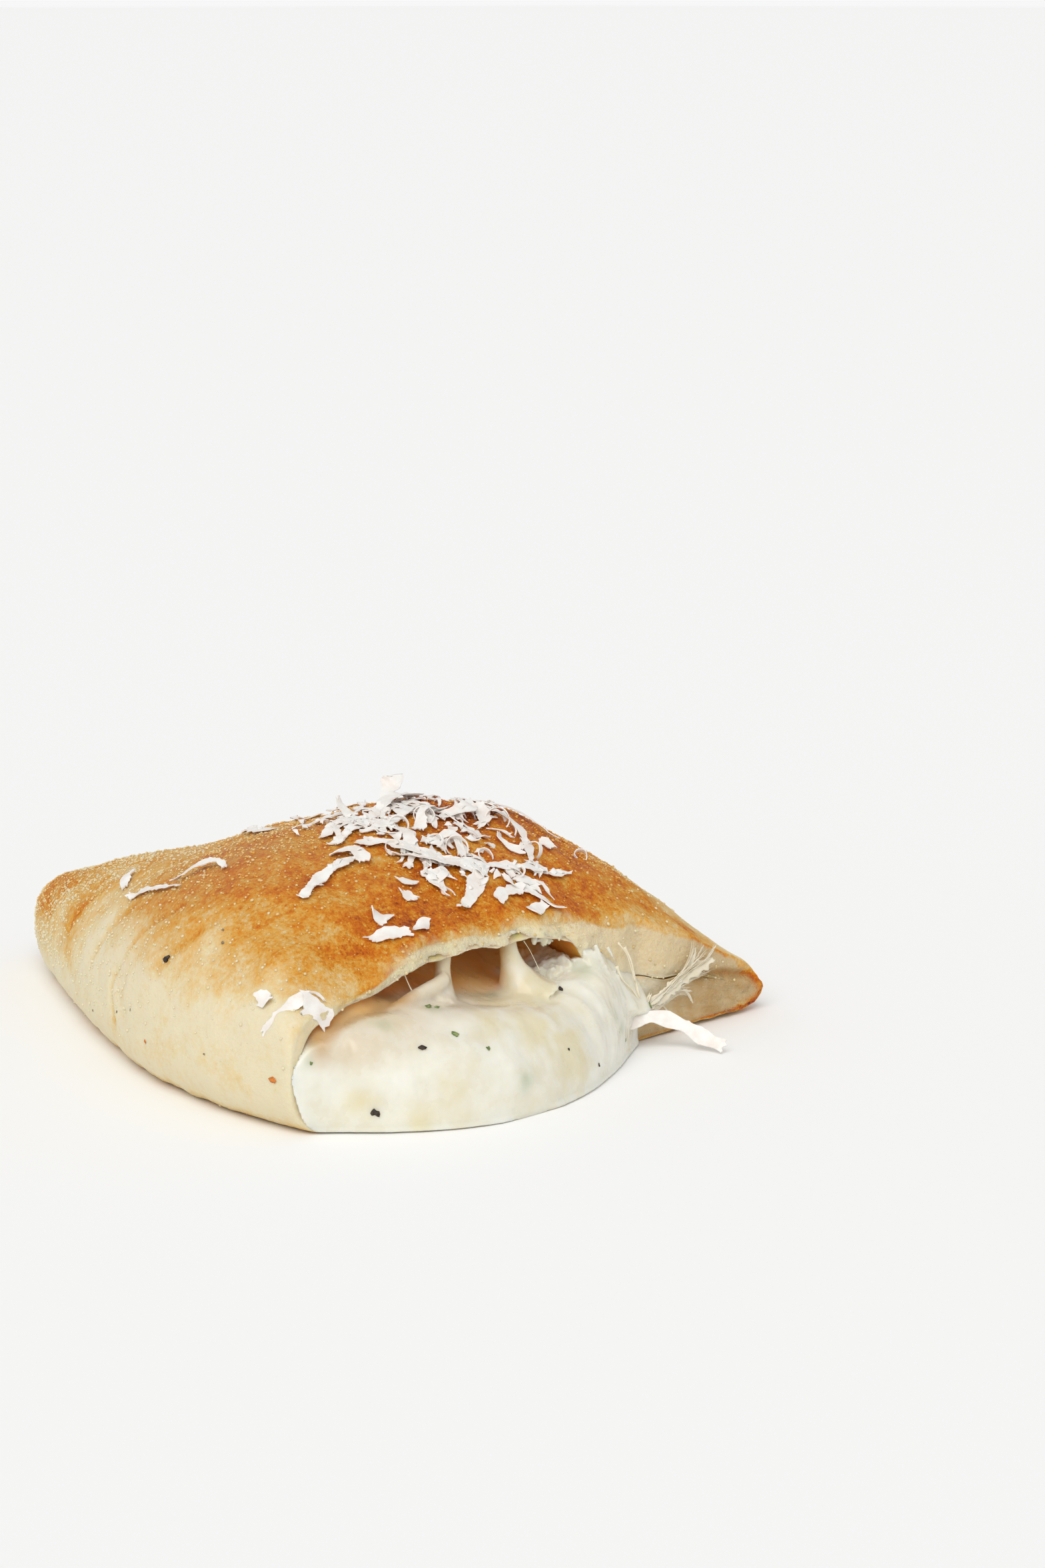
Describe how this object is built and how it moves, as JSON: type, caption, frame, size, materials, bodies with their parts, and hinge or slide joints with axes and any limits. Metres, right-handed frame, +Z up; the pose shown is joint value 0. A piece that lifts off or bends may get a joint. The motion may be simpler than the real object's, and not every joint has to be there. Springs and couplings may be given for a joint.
{
  "type": "mini calzone",
  "caption": "Half of a small baked calzone cut across: a folded dough crust with a pressed rim, an open cut mouth, melted cheese filling flowing out, and grated hard cheese on top.",
  "frame": {"origin": "on the table, under the centre of the bounding box", "axes": "+X along the cut from the folded side to the sealed edge, +Y from the cut mouth to the blunt tip, +Z up from the flat base"},
  "size_m": [0.0856, 0.1046, 0.0339],
  "materials": {
    "baked_dough": "golden-brown baked dough, pale at the fold and on the cut, with semolina grains and white grated cheese",
    "melted_cheese": "glossy cream-coloured melted cheese with herb and pepper flecks"
  },
  "bodies": {
    "root": {"crust": "baked_dough", "filling": "melted_cheese"}
  },
  "joints": []
}
